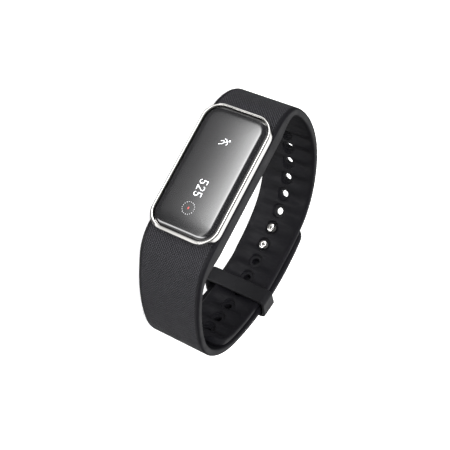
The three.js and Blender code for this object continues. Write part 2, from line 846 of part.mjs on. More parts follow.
function addShell() {
  add('bezel_frame', makeBezel(), polishedSteel);
  add('cover_glass', makeGlass(), glassBlack);
  add('glass_gasket', makeGasket(), sealRubber);
  add('mid_frame', makeMidFrame(), caseBlack);
  add('case_seal', makeSeal(), sealRubber);
  add('back_cover', makeBackCover(), caseBlack);
  add('sensor_window', makeSensorWindow(), glassBlack);
  screwPlaces.forEach((place, i) => add(`cover_screw_${i + 1}`, makeScrew(place), steel));
  contactPlaces().forEach((place, i) => add(`charge_contact_${i + 1}`, makeContact(place), gold));
}

function addInside() {
  add('display_panel', makeDisplay(), glassBlack);
  add('display_flex', makeDisplayFlex(), flexAmber);
  add('touch_key_pad', makeTouchPad(), gold);
  add('main_board', makeMainBoard(), boardGreen);
  add('processor_chip', box(-1.2, chipFront, chipFront + 0.8, 1.6, 5, 5), chipBlack);
  add('radio_chip', box(-1.6, chipFront, chipFront + 0.7, -4.4, 3.6, 3.2), chipBlack);
  add('motion_sensor', box(2.4, chipFront, chipFront + 0.9, -5, 2.5, 2.5), chipBlack);
  add('battery_cell', makeBattery(), batteryFoil);
  add('motor_can', makeMotorCan(), steel);
  add('motor_base', makeMotorBase(), steel);
  add('motor_weight', makeMotorWeight(), steel);
  add('sensor_board', box(SENSOR_X, sensorBoardFront, sensorBoardBack, 0, 6.4, 9), boardGreen);
  add('pulse_led_1', box(SENSOR_X, sensorPartFront, sensorPartBack, -2, 1, 1), ledClear);
  add('pulse_led_2', box(SENSOR_X, sensorPartFront, sensorPartBack, 2, 1, 1), ledClear);
  add('pulse_photodiode', box(SENSOR_X, sensorPartFront, sensorPartBack, 0, 2, 1.6), chipBlack);
}

// Moves the middle of the footprint to the origin.
function standOnGround() {
  const size = new THREE.Box3().setFromObject(band);
  const middle = size.getCenter(new THREE.Vector3());
  band.position.set(-middle.x, -middle.y, -size.min.z);
}

addBand();
addShell();
addInside();
standOnGround();

export default band;
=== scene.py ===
"""Looks for the fitness tracker band: silicone band, keeper, studs, polished bezel and lit display."""

import math
import random

import bmesh
import bpy
from mathutils import Matrix, Vector


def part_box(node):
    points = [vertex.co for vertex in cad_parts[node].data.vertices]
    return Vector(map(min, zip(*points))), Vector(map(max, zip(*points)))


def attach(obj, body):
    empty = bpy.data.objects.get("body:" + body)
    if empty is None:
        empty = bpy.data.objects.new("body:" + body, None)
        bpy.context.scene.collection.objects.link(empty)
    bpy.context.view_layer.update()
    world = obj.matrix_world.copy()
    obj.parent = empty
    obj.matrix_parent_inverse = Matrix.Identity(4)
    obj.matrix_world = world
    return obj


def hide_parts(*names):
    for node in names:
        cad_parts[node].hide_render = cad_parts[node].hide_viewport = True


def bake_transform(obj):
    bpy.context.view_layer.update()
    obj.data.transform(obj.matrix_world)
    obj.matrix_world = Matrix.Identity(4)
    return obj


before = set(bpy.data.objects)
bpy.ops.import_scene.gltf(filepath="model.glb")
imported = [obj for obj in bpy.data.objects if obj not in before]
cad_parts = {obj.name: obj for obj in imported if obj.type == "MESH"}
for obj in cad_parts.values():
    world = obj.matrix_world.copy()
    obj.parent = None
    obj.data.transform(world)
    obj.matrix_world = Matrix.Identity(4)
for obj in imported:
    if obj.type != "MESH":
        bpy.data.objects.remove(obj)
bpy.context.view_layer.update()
random.seed(7)

MM = 0.001

# ---------------------------------------------------------------- places taken from the frame

BEZEL_LOW, BEZEL_HIGH = (Vector(corner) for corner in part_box("bezel_frame"))
GLASS_LOW, GLASS_HIGH = (Vector(corner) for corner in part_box("cover_glass"))
BODY_LOW, BODY_HIGH = (Vector(corner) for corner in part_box("strap_body"))
CASE_LOW, CASE_HIGH = (Vector(corner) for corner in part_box("mid_frame"))
KEEPER_LOW, KEEPER_HIGH = (Vector(corner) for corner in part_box("keeper_loop"))

TRACKER_X = (BEZEL_LOW.x + BEZEL_HIGH.x) / 2
# In the photo the glass and the ring's rim sit a little nearer the key end than in CAD.
GLASS_SHIFT = 0.15 * MM
GLASS_X = TRACKER_X + GLASS_SHIFT
MID_Z = (BODY_LOW.z + BODY_HIGH.z) / 2
FACE_Y = BODY_LOW.y

# The band's path and section, as the CAD draws them.
STRAP_THICKNESS = 2.16 * MM
STRAP_HALF_WIDTH = 10 * MM
CRADLE_THICKNESS = 5 * MM
CRADLE_FLARE = 0.45 * MM
CRADLE_TAPER = 14 * MM
EDGE_RADIUS = 0.75 * MM
CLASP_NARROWING = 0.0113
HOLE_NARROWING = 0.0232
LAYER_GAP = 0.3 * MM
FLAT_HOLE_END = TRACKER_X - 16.44 * MM
FLAT_CLASP_END = TRACKER_X + 17.96 * MM
CLASP_ARCS = ((13.5 * MM, 42.1), (47 * MM, 27.4), (19 * MM, 70.6))
BACK_RADIUS = 49.4 * MM
HOLE_ARCS = ((12 * MM, 72.6), (36 * MM, 66.2))
CLASP_TIP = 101.2 * MM
TAIL_TIP = 119 * MM
TIP_ROUNDING = 5 * MM
TIP_WIDTH = 0.5
TAIL_LEAN_START = 80.5 * MM
TAIL_LEAN = 0.052
FLAP_HINGE = 77.4 * MM

# Only here: the texture's smooth border and the flap mesh's start under the keeper.
TEXTURE_BORDER = 1.15 * MM
BEND_SEAM = 73.4 * MM

# The holes, as in CAD, with seats a little larger than in CAD for the larger heads of the studs.
HOLE_COUNT = 14
HOLE_FIRST = 34.85 * MM
HOLE_PITCH = 6.05 * MM
HOLE_RADIUS = 1.1 * MM
SEAT_RADIUS = 2.1 * MM
SEAT_DEPTH = 0.7 * MM

# The keeper is as in CAD outside. Its wall is thinner, which leaves room for the waves on the band.
KEEPER_START = 70.2 * MM
KEEPER_LENGTH = 5.8 * MM
KEEPER_WALL = 0.95 * MM
KEEPER_GAP = 0.45 * MM


# ---------------------------------------------------------------- the band's path


class Arc:
    """One arc of the band's outer face, seen along the wrist axis."""

    def __init__(self, start, heading, turn, radius, sweep):
        self.start = start
        self.heading = heading
        self.turn = turn
        self.radius = radius
        self.length = radius * sweep
        self.centre = start + self.inward(heading) * radius

    def inward(self, heading):
        return Vector((-math.sin(heading), math.cos(heading))) * self.turn

    def at(self, distance):
        heading = self.heading + self.turn * distance / self.radius
        inward = self.inward(heading)
        return self.centre - inward * self.radius, heading, inward


def chain(start, heading, turn, arcs):
    found = []
    for radius, degrees in arcs:
        arc = Arc(start, heading, turn, radius, math.radians(degrees))
        found.append(arc)
        start, heading, _ = arc.at(arc.length)
    return found


def joining_arc(arcs, centre, radius):
    """The arc that leaves a chain's end and runs smoothly into a wider circle around it."""
    last = arcs[-1]
    point, heading, inward = last.at(last.length)
    offset = point - centre
    join_radius = (radius**2 - offset.length_squared) / (2 * (offset.dot(inward) + radius))
    outward = (point + inward * join_radius - centre).normalized()
    return Arc(point, heading, last.turn, join_radius, math.acos(-outward.dot(inward)))


def clasp_track():
    start = Vector((FLAT_CLASP_END, FACE_Y))
    return chain(start, 0, 1, (*CLASP_ARCS, (BACK_RADIUS, 90)))


def hole_track(clasp):
    start = Vector((FLAT_HOLE_END, FACE_Y))
    arcs = chain(start, math.pi, -1, HOLE_ARCS)
    corner, back = clasp[-2:]
    inset = STRAP_THICKNESS + LAYER_GAP
    joining = joining_arc(arcs, back.centre, back.radius - inset)
    point, heading, _ = joining.at(joining.length)
    sweep = (heading - math.pi - back.heading) % (2 * math.pi)
    shared = Arc(point, heading, -1, back.radius - inset, sweep)
    point, heading, _ = shared.at(shared.length)
    tail = Arc(point, heading, -1, corner.radius - inset, math.pi / 2)
    return [*arcs, joining, shared, tail]


def along(arcs, distance):
    left = distance
    for arc in arcs[:-1]:
        if left < arc.length:
            return arc.at(left)
        left -= arc.length
    return arcs[-1].at(left)


CLASP = clasp_track()
HOLE = hole_track(CLASP)


# ---------------------------------------------------------------- mesh helpers


def smooth(mesh, degrees=35):
    for polygon in mesh.polygons:
        polygon.use_smooth = True
    mesh.set_sharp_from_angle(angle=math.radians(degrees))


def new_object(name, verts, faces, materials, slots=None, uvs=None):
    """A mesh object. slots gives each face's material, and uvs each vertex's place on the surface."""
    mesh = bpy.data.meshes.new(name)
    mesh.from_pydata([tuple(v) for v in verts], [], faces)
    for material in materials:
        mesh.materials.append(material)
    if slots:
        mesh.polygons.foreach_set("material_index", slots)
    if uvs:
        layer = mesh.uv_layers.new(name="surface")
        for loop in mesh.loops:
            layer.data[loop.index].uv = uvs[loop.vertex_index]
    bm = bmesh.new()
    bm.from_mesh(mesh)
    bmesh.ops.recalc_face_normals(bm, faces=bm.faces)
    bm.to_mesh(mesh)
    bm.free()
    smooth(mesh)
    piece = bpy.data.objects.new(name, mesh)
    bpy.context.scene.collection.objects.link(piece)
    return piece


def ring_faces(rings, count, closed=False):
    """Quads between rings of count points, with end caps unless the rings close on themselves."""
    faces = []
    last = rings if closed else rings - 1
    for ring in range(last):
        here = ring * count
        there = (ring + 1) % rings * count
        for i in range(count):
            j = (i + 1) % count
            faces.append((here + i, there + i, there + j, here + j))
    if not closed:
        faces.append(tuple(range(count)))
        faces.append(tuple(range((rings - 1) * count, rings * count)))
    return faces


def turned_verts(profile, segments=48):
    """Rings of a turned shape: profile is a list of radius and height along the axis."""
    verts = []
    for radius, height in profile:
        for i in range(segments):
            angle = 2 * math.pi * i / segments
            verts.append(Vector((radius * math.cos(angle), height, radius * math.sin(angle))))
    return verts, ring_faces(len(profile), segments)


def rounded_outline(half_x, half_z, radius, side_steps=10, corner_steps=12):
    """Points around a rectangle with round corners, the same count for every size."""

    def on_corner(corner, step):
        sign_x, sign_z, start = corner
        centre = Vector((sign_x * (half_x - radius), sign_z * (half_z - radius)))
        angle = math.radians(start + 90 * step / corner_steps)
        return centre + radius * Vector((math.cos(angle), math.sin(angle)))

    corners = ((1, 1, 0), (-1, 1, 90), (-1, -1, 180), (1, -1, 270))
    points = []
    for corner, following in zip(corners, corners[1:] + corners[:1]):
        points += [on_corner(corner, step) for step in range(corner_steps + 1)]
        here, there = points[-1], on_corner(following, 0)
        points += [here.lerp(there, step / side_steps) for step in range(1, side_steps)]
    return points


def subtract(piece, cutters):
    """Cuts the cutters out of a piece and leaves a plain mesh."""
    for cutter in cutters:
        modifier = piece.modifiers.new("cut", "BOOLEAN")
        modifier.operation = "DIFFERENCE"
        modifier.solver = "EXACT"
        modifier.material_mode = "TRANSFER"
        modifier.object = cutter
    bpy.context.view_layer.update()
    evaluated = piece.evaluated_get(bpy.context.evaluated_depsgraph_get())
    mesh = bpy.data.meshes.new_from_object(evaluated)
    piece.modifiers.clear()
    piece.data = mesh
    for cutter in cutters:
        bpy.data.objects.remove(cutter)
    smooth(mesh)


# ---------------------------------------------------------------- materials


class Look:
    """A node material and the few node patterns that the looks share."""

    def __init__(self, name, colour, roughness, metallic=0.0, ior=1.5):
        self.material = bpy.data.materials.new(name)
        self.material.use_nodes = True
        self.tree = self.material.node_tree
        self.shader = self.tree.nodes["Principled BSDF"]
        self.shader.inputs["Base Color"].default_value = (*colour, 1)
        self.shader.inputs["Roughness"].default_value = roughness
        self.shader.inputs["Metallic"].default_value = metallic
        self.shader.inputs["IOR"].default_value = ior
        self.material.diffuse_color = (*colour, 1)

    def node(self, kind, **settings):
        node = self.tree.nodes.new(kind)
        for key, value in settings.items():
            setattr(node, key, value)
        return node

    def link(self, source, target):
        self.tree.links.new(source, target)

    def math(self, operation, a, b=None):
        node = self.node("ShaderNodeMath", operation=operation)
        for socket, value in zip(node.inputs, (a, b)):
            if isinstance(value, (int, float)):
                socket.default_value = value
            elif value is not None:
                self.link(value, socket)
        return node.outputs[0]

    def noise(self, scale, detail=3.0, stretch=None):
        place = self.node("ShaderNodeTexCoord").outputs["Object"]
        if stretch:
            mapping = self.node("ShaderNodeMapping")
            mapping.inputs["Scale"].default_value = stretch
            self.link(place, mapping.inputs["Vector"])
            place = mapping.outputs["Vector"]
        node = self.node("ShaderNodeTexNoise")
        node.inputs["Scale"].default_value = scale
        node.inputs["Detail"].default_value = detail
        self.link(place, node.inputs["Vector"])
        return node.outputs["Fac"]

    def spread(self, fac, low, high, start=0.3, end=0.7):
        node = self.node("ShaderNodeMapRange")
        node.inputs["From Min"].default_value = start
        node.inputs["From Max"].default_value = end
        node.inputs["To Min"].default_value = low
        node.inputs["To Max"].default_value = high
        self.link(fac, node.inputs["Value"])
        return node.outputs["Result"]

    def mix_colour(self, fac, first, second):
        node = self.node("ShaderNodeMix", data_type="RGBA")
        node.inputs["A"].default_value = (*first, 1)
        node.inputs["B"].default_value = (*second, 1)
        self.link(fac, node.inputs["Factor"])
        self.link(node.outputs["Result"], self.shader.inputs["Base Color"])

    def rough(self, value):
        self.link(value, self.shader.inputs["Roughness"])

    def bump(self, height, distance, strength=1.0):
        node = self.node("ShaderNodeBump")
        node.inputs["Strength"].default_value = strength
        node.inputs["Distance"].default_value = distance
        self.link(height, node.inputs["Height"])
        self.link(node.outputs["Normal"], self.shader.inputs["Normal"])


def silicone_look(name, colour, gloss):
    """Matt silicone with faint handling marks, before it has a pattern."""
    look = Look(name, colour, 0.6, ior=1.3)
    look.rough(look.spread(look.noise(260), 0.4, 0.52))
    look.shader.inputs["Specular IOR Level"].default_value = gloss
    return look


def smooth_silicone(name, dark, light):
    """Silicone with a fine moulded grain."""
    look = silicone_look(name, dark, 0.5)
    look.mix_colour(look.spread(look.noise(90), 0, 1), dark, light)
    look.bump(look.noise(9000, 2), 0.02 * MM, 0.5)
    return look.material


SILICONE_DARK = (0.0054, 0.0053, 0.0065)
SILICONE_LIGHT = (0.0074, 0.0072, 0.0088)
DIAMOND_ROWS = 0.56 * MM
DIAMOND_HEIGHT = 0.2 * MM


def diamond_silicone():
    """The band's outer face: rows of small raised diamonds, cut deeper in one direction, with painted shade
    darkening the grooves.
    """
    look = silicone_look("silicone_diamonds_painted_groove_shade", SILICONE_DARK, 0.25)
    uv = look.node("ShaderNodeUVMap", uv_map="surface").outputs["UV"]
    parts = look.node("ShaderNodeSeparateXYZ")
    look.link(uv, parts.inputs["Vector"])
    across = [
        look.math("ADD", parts.outputs["X"], parts.outputs["Y"]),
        look.math("SUBTRACT", parts.outputs["X"], parts.outputs["Y"]),
    ]
    turns = math.pi / (DIAMOND_ROWS * math.sqrt(2))
    waves = [look.math("ABSOLUTE", look.math("SINE", look.math("MULTIPLY", a, turns))) for a in across]
    shallow = look.spread(waves[0], 0.4, 1, 0, 1)
    diamonds = look.math("MULTIPLY", shallow, waves[1])
    # Painted shade: the grooves are coloured darker than the diamonds' tops, darkest along the more deeply
    # cut family.
    look.mix_colour(diamonds, (0.008, 0.008, 0.0092), (0.040, 0.0395, 0.044))
    look.bump(diamonds, DIAMOND_HEIGHT)
    return look.material


def polished_steel():
    look = Look("polished_steel", (0.88, 0.865, 0.84), 0.08, 1.0)
    look.mix_colour(look.noise(400), (0.85, 0.835, 0.81), (0.91, 0.895, 0.87))
    look.rough(look.spread(look.noise(1500, 4), 0.06, 0.13))
    return look.material


def plain_steel():
    """Steel with a fine grain along one direction."""
    look = Look("plain_steel", (0.5, 0.51, 0.52), 0.3, 1.0)
    look.mix_colour(look.noise(900), (0.42, 0.43, 0.45), (0.60, 0.61, 0.62))
    look.rough(look.spread(look.noise(3000, 4), 0.24, 0.42))
    look.bump(look.noise(6000, 2, (1, 0.1, 1)), 0.01 * MM)
    return look.material


def gold_plate():
    look = Look("gold_plate", (0.9, 0.62, 0.25), 0.2, 1.0)
    look.mix_colour(look.noise(1500), (0.82, 0.54, 0.20), (0.95, 0.70, 0.34))
    look.rough(look.spread(look.noise(4000), 0.14, 0.3))
    return look.material


def black_glass():
    """Dark glass. Its index is raised, so that it mirrors about as strongly as in the photo."""
    look = Look("black_glass", (0.006, 0.006, 0.007), 0.1, ior=2.3)
    look.mix_colour(look.noise(30), (0.005, 0.005, 0.006), (0.009, 0.009, 0.010))
    look.rough(look.spread(look.noise(60, 5), 0.08, 0.11))
    return look.material


def case_plastic():
    look = Look("case_plastic", (0.018, 0.018, 0.020), 0.42)
    look.mix_colour(look.noise(200), (0.015, 0.015, 0.017), (0.024, 0.024, 0.026))
    look.rough(look.spread(look.noise(700), 0.34, 0.5))
    look.bump(look.noise(7000, 2), 0.02 * MM, 0.6)
    return look.material


def seal_rubber():
    look = Look("seal_rubber", (0.02, 0.02, 0.02), 0.8)
    look.mix_colour(look.noise(500), (0.014, 0.014, 0.015), (0.03, 0.03, 0.03))
    look.bump(look.noise(5000, 2), 0.02 * MM, 0.6)
    return look.material


def board_green():
    """Circuit board: two greens with sharp borders, for the tracks under the lacquer."""
    look = Look("board_green", (0.01, 0.09, 0.05), 0.35)
    tracks = look.spread(look.noise(900, 1, (1, 1, 0.3)), 0, 1, 0.48, 0.52)
    look.mix_colour(tracks, (0.006, 0.06, 0.03), (0.014, 0.12, 0.06))
    look.bump(look.noise(1800, 1), 0.02 * MM)
    return look.material


def chip_epoxy():
    look = Look("chip_epoxy", (0.012, 0.012, 0.013), 0.5)
    look.mix_colour(look.noise(1200), (0.009, 0.009, 0.010), (0.018, 0.018, 0.019))
    look.rough(look.spread(look.noise(5000), 0.4, 0.6))
    return look.material


def amber_ribbon():
    """Flat cable: amber film with darker stripes."""
    look = Look("amber_ribbon", (0.45, 0.18, 0.03), 0.35)
    conductors = look.spread(look.noise(1500, 1, (0.05, 0.05, 1)), 0, 1, 0.45, 0.55)
    look.mix_colour(conductors, (0.34, 0.12, 0.02), (0.55, 0.25, 0.05))
    return look.material


def battery_foil():
    look = Look("battery_foil", (0.6, 0.6, 0.62), 0.4, 1.0)
    look.mix_colour(look.noise(300), (0.50, 0.50, 0.52), (0.68, 0.68, 0.70))
    look.bump(look.noise(900, 3), 0.08 * MM, 0.5)
    return look.material


def led_clear():
    look = Look("led_clear", (0.5, 0.8, 0.55), 0.15)
    look.mix_colour(look.noise(2500), (0.40, 0.72, 0.46), (0.62, 0.88, 0.66))
    return look.material


def lit_look(name, colour, strength):
    """A display segment: lit, and a little uneven from pixel to pixel."""
    look = Look(name, colour, 0.3)
    darker = tuple(0.85 * c for c in colour)
    look.mix_colour(look.spread(look.noise(5000, 1), 0, 1), darker, colour)
    look.shader.inputs["Emission Color"].default_value = (*colour, 1)
    look.shader.inputs["Emission Strength"].default_value = strength
    return look.material


LOOKS = {
    "silicone": smooth_silicone("silicone_smooth", SILICONE_DARK, SILICONE_LIGHT),
    "diamonds": diamond_silicone(),
    "keeper": smooth_silicone("keeper_rubber", (0.009, 0.009, 0.010), (0.012, 0.012, 0.0135)),
    "polished": polished_steel(),
    "steel": plain_steel(),
    "gold": gold_plate(),
    "glass": black_glass(),
    "case": case_plastic(),
    "seal": seal_rubber(),
    "board": board_green(),
    "chip": chip_epoxy(),
    "flex": amber_ribbon(),
    "foil": battery_foil(),
    "led": led_clear(),
    "lit": lit_look("lit_white", (0.92, 0.94, 0.97), 1.0),
    "dim": lit_look("lit_grey", (0.42, 0.42, 0.43), 0.35),
    "red": lit_look("lit_red", (0.55, 0.08, 0.07), 0.35),
}


# ---------------------------------------------------------------- the band


def ease(share):
    return (1 + math.cos(math.pi * min(max(share, 0), 1))) / 2


def strap_thickness(distance):
    return STRAP_THICKNESS + (CRADLE_THICKNESS - STRAP_THICKNESS) * ease(distance / CRADLE_TAPER)


def strap_half_width(distance, narrowing, tip):
    full = STRAP_HALF_WIDTH - narrowing * distance + CRADLE_FLARE * ease(distance / CRADLE_TAPER)
    past = max(distance - (tip - TIP_ROUNDING), 0) / TIP_ROUNDING
    return full * math.sqrt(max(1 - (1 - TIP_WIDTH**2) * past**3, 0))


def tip_inset(distance, tip):
    """How far the section shrinks all round, so that the tip's end edge is round."""
    left = max(EDGE_RADIUS - (tip - distance), 0)
    return EDGE_RADIUS - math.sqrt(max(EDGE_RADIUS**2 - left**2, 0))


FACE_COLUMNS = 22
EDGE_STEP = 18
LEAST_RADIUS = 0.05 * MM
# The round edges stay this much smaller, so that the two of one side never meet in a point.
EDGE_FLAT = 0.02 * MM
RIPPLE_HEIGHT = 0.38 * MM
RIPPLE_START = 26 * MM
RIPPLE_GROWTH = 8 * MM


def ripple(distance, z, half_width):
    """The hole side's inner face is moulded in soft waves, one to a hole."""
    grown = min(max((distance - RIPPLE_START) / RIPPLE_GROWTH, 0), 1)
    fade = max(1 - (abs(z) / (half_width - EDGE_RADIUS)) ** 4, 0)
    wave = math.cos(2 * math.pi * (distance - HOLE_FIRST) / HOLE_PITCH)
    return -RIPPLE_HEIGHT * wave * grown * fade


def round_edge(centre_depth, centre_z, radius, side, degrees):
    """Points around one round edge: 90 degrees faces out of the band, 0 sideways and -90 the wrist."""
    points = []
    for angle in map(math.radians, degrees):
        depth = centre_depth - radius * math.sin(angle)
        points.append((depth, side * (centre_z + radius * math.cos(angle)), False))
    return points


def section(half_width, thickness, inset):
    """(depth, z, is on the inner face) around the band, starting at the outer face's low border."""
    radius = max(min(EDGE_RADIUS, thickness / 2 - inset) - EDGE_FLAT, LEAST_RADIUS)
    half = half_width - inset
    flat = half - radius
    near, far = inset, thickness - inset
    border = max(half - TEXTURE_BORDER, 0)
    columns = [-border + 2 * border * i / FACE_COLUMNS for i in range(FACE_COLUMNS + 1)]
    points = [(near, z, False) for z in (-flat, *columns, flat)]
    points += round_edge(near + radius, flat, radius, 1, range(90 - EDGE_STEP, -1, -EDGE_STEP))
    points += round_edge(far - radius, flat, radius, 1, range(-EDGE_STEP, -91, -EDGE_STEP))
    points += [(far, flat * (1 - 2 * i / FACE_COLUMNS), True) for i in range(1, FACE_COLUMNS)]
    points += round_edge(far - radius, flat, radius, -1, range(-90, 1, EDGE_STEP))
    points += round_edge(near + radius, flat, radius, -1, range(EDGE_STEP, 90, EDGE_STEP))
    return points


def strap_ring(arcs, distance, narrowing, tip, sign):
    """One ring of the band, with the surface place of each point. sign tells the two sides apart."""
    point, _, inward = along(arcs, distance)
    inset = tip_inset(distance, tip)
    half = strap_half_width(distance, narrowing, tip)
    lean = TAIL_LEAN * max(distance - TAIL_LEAN_START, 0) if sign < 0 else 0
    verts, uvs = [], []
    for depth, z, inner in section(half, strap_thickness(distance), inset):
        if inner and sign < 0:
            depth += ripple(distance, z, half)
        at = point + inward * depth
        verts.append(Vector((at.x, at.y, MID_Z + z + lean)))
        uvs.append((sign * distance, z))
    return verts, uvs


def steps(start, end, spacing):
    count = max(math.ceil(abs(end - start) / spacing), 1)
    return [start + (end - start) * i / count for i in range(count + 1)]


RING_SPACING = 0.6 * MM
TIP_ZONE = 2 * MM
TIP_SPACING = 0.25 * MM
TIP_DEGREES = (20, 40, 60, 75, 88)
FLAT_SHARES = 24


def side_rings(arcs, start, end, narrowing, tip, sign):
    """Rings along one side, closer together at its tip, where they follow the round end edge."""
    fine = tip - TIP_ZONE
    spots = steps(start, min(end, fine), RING_SPACING)
    if end > fine:
        spots += steps(fine, tip - EDGE_RADIUS, TIP_SPACING)[1:]
        spots += [tip - EDGE_RADIUS * (1 - math.sin(math.radians(a))) for a in TIP_DEGREES]
    return [strap_ring(arcs, spot, narrowing, tip, sign) for spot in spots]


def flat_rings():
    """The flat under the tracker, between the two ends, which are left out."""
    length = FLAT_CLASP_END - FLAT_HOLE_END
    half_width = strap_half_width(0, 0, CLASP_TIP)
    rings = []
    for share in steps(0, 1, 1 / FLAT_SHARES)[1:-1]:
        verts, uvs = [], []
        x = FLAT_HOLE_END + length * share
        for depth, z, _ in section(half_width, CRADLE_THICKNESS, 0):
            verts.append(Vector((x, FACE_Y + depth, MID_Z + z)))
            uvs.append((length * (share - 1), z))
        rings.append((verts, uvs))
    return rings


def strap_object(name, rings):
    """A stretch of the band, with diamonds on its outer face inside a smooth border."""
    verts = [v for ring, _ in rings for v in ring]
    uvs = [uv for _, ring in rings for uv in ring]
    count = len(rings[0][0])
    faces = ring_faces(len(rings), count)
    textured = range(1, FACE_COLUMNS + 1)
    slots = [1 if i % count in textured else 0 for i in range(len(faces) - 2)] + [0, 0]
    return new_object(name, verts, faces, [LOOKS["silicone"], LOOKS["diamonds"]], slots, uvs)


def across_band(verts, arcs, distance, lean=0):
    """Moves a turned shape so that its axis runs into the band at a distance."""
    point, _, inward = along(arcs, distance)
    turn = Matrix.Rotation(math.atan2(inward.y, inward.x) - math.pi / 2, 3, "Z")
    place = Vector((point.x, point.y, MID_Z + lean))
    return [turn @ v + place for v in verts]


def hole_cutter(number):
    """One hole and its seat, both with soft lips."""
    distance = HOLE_FIRST + HOLE_PITCH * number
    seat = STRAP_THICKNESS - SEAT_DEPTH
    lip = 0.22 * MM
    overshoot = 0.6 * MM
    verts, faces = turned_verts([
        (HOLE_RADIUS + lip, -overshoot),
        (HOLE_RADIUS + lip, 0),
        (HOLE_RADIUS + 0.3 * lip, 0.3 * lip),
        (HOLE_RADIUS, lip),
        (HOLE_RADIUS, seat - 0.4 * lip),
        (HOLE_RADIUS + 0.4 * lip, seat),
        (SEAT_RADIUS - 0.6 * lip, seat),
        (SEAT_RADIUS, seat + 0.6 * lip),
        (SEAT_RADIUS, STRAP_THICKNESS - lip),
        (SEAT_RADIUS + 0.3 * lip, STRAP_THICKNESS - 0.3 * lip),
        (SEAT_RADIUS + lip, STRAP_THICKNESS + 0.1 * lip),
        (SEAT_RADIUS + lip, STRAP_THICKNESS + overshoot),
    ])
    lean = TAIL_LEAN * max(distance - TAIL_LEAN_START, 0)
    verts = across_band(verts, HOLE, distance, lean)
    return new_object(f"hole_cutter_{number}", verts, faces, [LOOKS["silicone"]])


def pocket_cutter():
    """The opening in the cradle, with a soft lip on the wrist side."""
    gap = 0.3 * MM
    half_x = (CASE_HIGH.x - CASE_LOW.x) / 2 + gap
    half_z = (CASE_HIGH.z - CASE_LOW.z) / 2 + gap
    corner_radius = 3.9 * MM
    inside = FACE_Y + CRADLE_THICKNESS
    lip = 0.45 * MM
    overshoot = 1 * MM
    levels = [
        (FACE_Y - overshoot, 0),
        (inside - lip, 0),
        (inside - 0.3 * lip, -0.3 * lip),
        (inside + 0.05 * lip, -lip),
        (inside + overshoot, -lip),
    ]
    return plate_object("pocket_cutter", TRACKER_X, half_x, half_z, corner_radius, levels, "silicone")


def plate_object(name, x, half_x, half_z, radius, levels, look):
    """A rounded plate. Each level is its place along Y and how far the side steps in."""
    verts = []
    for y, inset in levels:
        outline = rounded_outline(half_x - inset, half_z - inset, max(radius - inset, 0.1 * MM))
        verts += [Vector((x + p.x, y, MID_Z + p.y)) for p in outline]
    count = len(verts) // len(levels)
    return new_object(name, verts, ring_faces(len(levels), count), [LOOKS[look]])


def make_band():
    """The moulding that stays put: tail, hole side, cradle, and the clasp side up to the keeper."""
    rings = side_rings(HOLE, 0, TAIL_TIP, HOLE_NARROWING, TAIL_TIP, -1)[::-1]
    rings += flat_rings()
    rings += side_rings(CLASP, 0, BEND_SEAM, CLASP_NARROWING, CLASP_TIP, 1)
    band = strap_object("silicone_band", rings)
    subtract(band, [pocket_cutter(), *(hole_cutter(i) for i in range(HOLE_COUNT))])
    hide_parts("strap_body", "strap_hole_grip", "strap_hole_tail")
    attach(band, "band")


def make_flap():
    """The clasp side from under the keeper to its tip."""
    rings = side_rings(CLASP, BEND_SEAM, CLASP_TIP, CLASP_NARROWING, CLASP_TIP, 1)
    flap = strap_object("silicone_flap", rings)
    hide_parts("strap_clasp_flap")
    start, heading, _ = along(CLASP, FLAP_HINGE - 1 * MM)
    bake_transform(flap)


def keeper_profile():
    """(step into the wall, place along the band) around the keeper's wall, with round edges."""
    rounding = 0.42 * MM
    edge_steps = 4
    outside, inside = rounding, KEEPER_WALL - rounding
    ahead, behind = KEEPER_LENGTH - rounding, rounding
    corners = ((outside, ahead, 180), (inside, ahead, 90), (inside, behind, 0), (outside, behind, -90))
    profile = []
    for wall, distance, start in corners:
        for step in range(edge_steps + 1):
            angle = math.radians(start - 90 * step / edge_steps)
            profile.append((wall + rounding * math.cos(angle), distance + rounding * math.sin(angle)))
    return profile


def make_keeper():
    """A sleeve around both layers, round on every edge."""
    near = -KEEPER_GAP - KEEPER_WALL
    far = 2 * STRAP_THICKNESS + LAYER_GAP + KEEPER_GAP + KEEPER_WALL
    half_depth = (far - near) / 2
    half_z = (KEEPER_HIGH.z - KEEPER_LOW.z) / 2
    outer_radius, least_radius = 1.6 * MM, 0.4 * MM
    profile = keeper_profile()
    verts = []
    for wall, distance in profile:
        point, _, inward = along(CLASP, KEEPER_START + distance)
        radius = max(outer_radius - wall, least_radius)
        outline = rounded_outline(half_depth - wall, half_z - wall, radius, side_steps=12, corner_steps=8)
        for p in outline:
            at = point + inward * (near + half_depth + p.x)
            verts.append(Vector((at.x, at.y, MID_Z + p.y)))
    count = len(verts) // len(profile)
    keeper = new_object("keeper_sleeve", verts, ring_faces(len(profile), count, True), [LOOKS["keeper"]])
    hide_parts("keeper_loop")
    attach(keeper, "keeper")


# ---------------------------------------------------------------- the clasp's studs


def stud_distance(node):
    """Where a stud stands along the clasp side, from its place in the frame."""
    low, high = (Vector(corner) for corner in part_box(node))
    middle = ((low + high) / 2).to_2d()
    back = CLASP[-1]
    start = -back.inward(back.heading)
    spoke = (middle - back.centre).normalized()
    sweep = math.acos(max(min(start.dot(spoke), 1), -1))
    return sum(arc.length for arc in CLASP[:-1]) + sweep * back.radius


